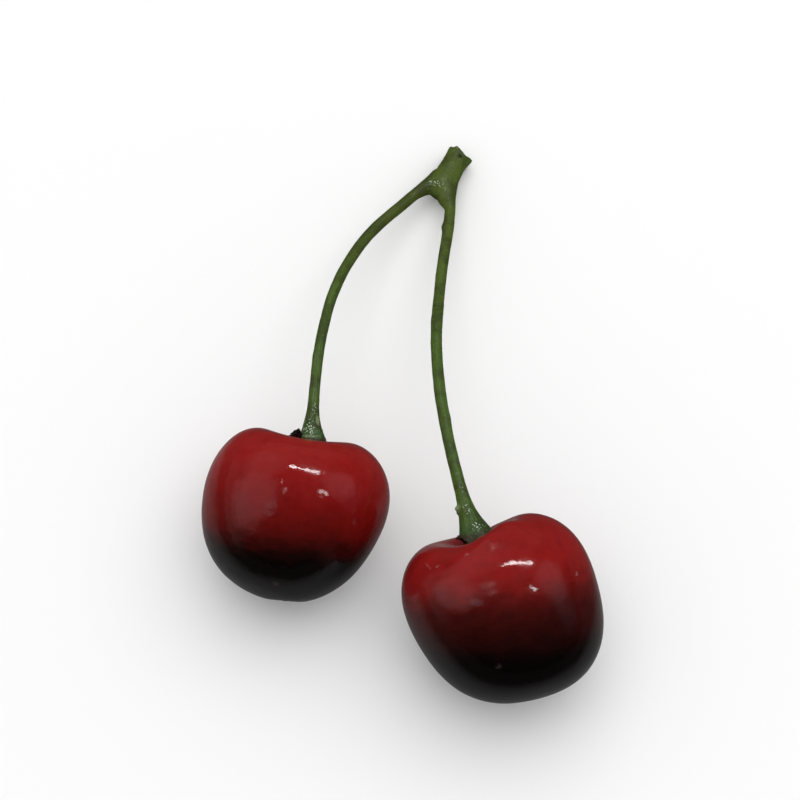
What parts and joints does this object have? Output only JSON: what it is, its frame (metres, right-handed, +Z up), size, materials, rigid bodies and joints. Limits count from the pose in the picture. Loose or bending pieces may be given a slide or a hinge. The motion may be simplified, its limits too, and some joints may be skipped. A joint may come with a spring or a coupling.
{
  "type": "cherries on stalks",
  "caption": "Pair of ripe cherries lying on their sides, joined by long green stalks that meet in a fork with a short cut stub.",
  "frame": {"origin": "under the middle of the pair's bounding box, on the surface that the cherries lie on", "axes": "+Z up, +Y from the cherries towards the cut end of the stalk, +X across the pair from the left cherry to the right one"},
  "size_m": [0.0538, 0.0858, 0.0242],
  "materials": {
    "cherry_skin": "gloss",
    "green_stalk": "satin"
  },
  "bodies": {
    "root": {"cherry_left": "cherry_skin", "cherry_right": "cherry_skin", "forked_stalk": "green_stalk"}
  },
  "joints": []
}
